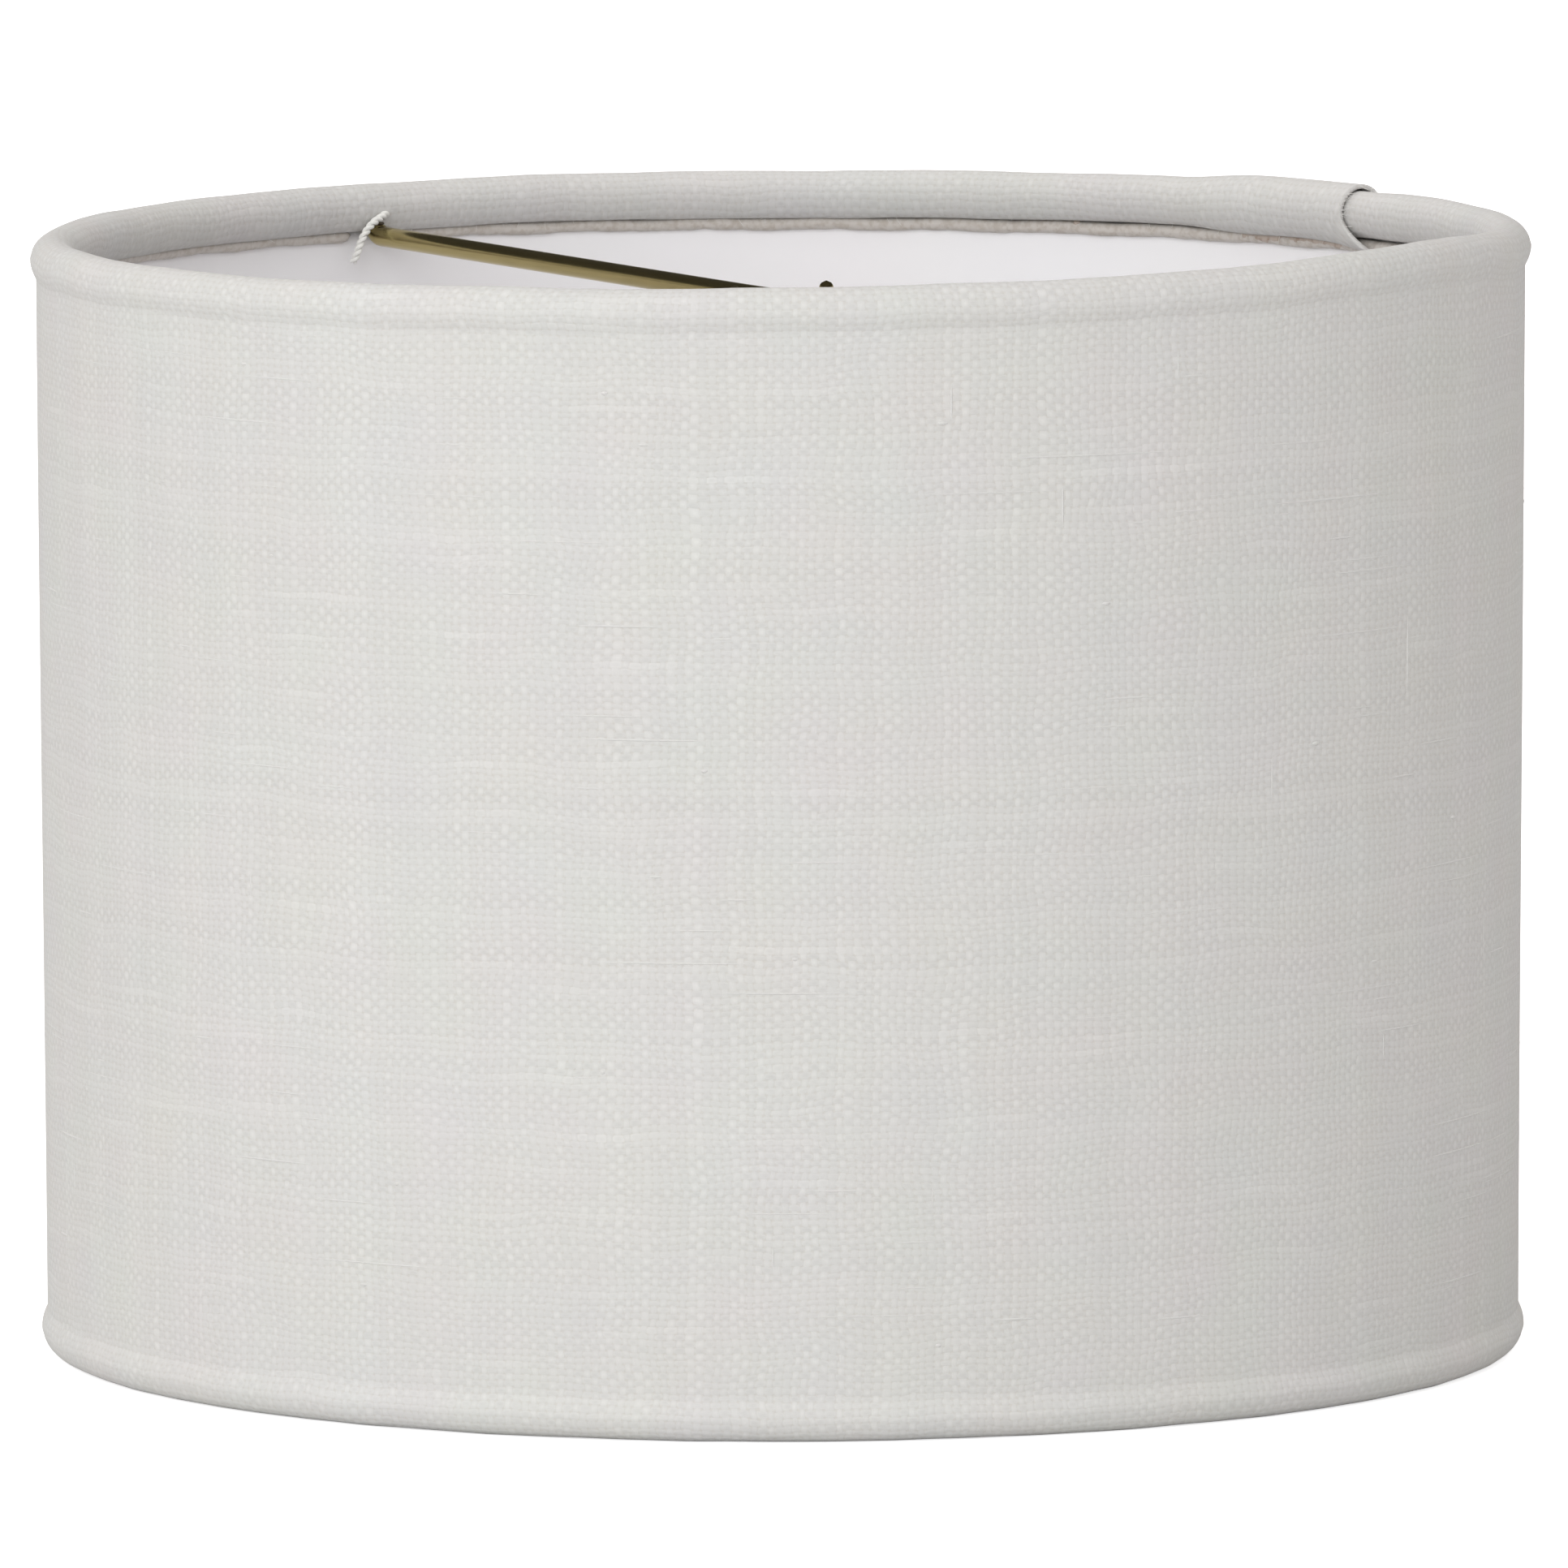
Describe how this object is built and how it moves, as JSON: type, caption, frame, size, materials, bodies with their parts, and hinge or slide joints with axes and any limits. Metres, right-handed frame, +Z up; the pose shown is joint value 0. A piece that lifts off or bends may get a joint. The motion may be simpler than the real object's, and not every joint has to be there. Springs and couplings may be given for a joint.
{
  "type": "clip-on drum lamp shade",
  "caption": "Small drum lamp shade of linen laminated to a white liner, with rolled rims over wire rings, a brass crossbar and a sprung clip that grips a candle bulb.",
  "frame": {"origin": "on the drum's axis, in the plane of the bottom rim", "axes": "+Z up along the drum's axis; +Y along the crossbar; +X towards the right clip loop"},
  "size_m": [0.1524, 0.1524, 0.1143],
  "materials": {
    "linen": "plain-weave off-white linen, matte, with slubs",
    "styrene": "smooth white sheet with a soft gloss",
    "ring_steel": "drawn steel wire, hidden in the rolled rims",
    "brass": "polished brass-plated wire"
  },
  "bodies": {
    "shade": {"linen_cover": "linen", "styrene_liner": "styrene", "top_ring": "ring_steel", "bottom_ring": "ring_steel", "crossbar": "brass", "clip_bar": "brass"},
    "left_loop": {"left_clip_loop": "brass"},
    "right_loop": {"right_clip_loop": "brass"}
  },
  "joints": [
    {"name": "left_loop_spread", "type": "hinge", "parent": "shade", "child": "left_loop", "pos_m": [-0.0036, 0, 0.10486], "axis": [0, 1, 0], "range_deg": [-4, 12], "stiffness_Nm_per_rad": 1.2},
    {"name": "right_loop_spread", "type": "hinge", "parent": "shade", "child": "right_loop", "pos_m": [0.0036, 0, 0.10486], "axis": [0, -1, 0], "range_deg": [-4, 12], "stiffness_Nm_per_rad": 1.2}
  ]
}
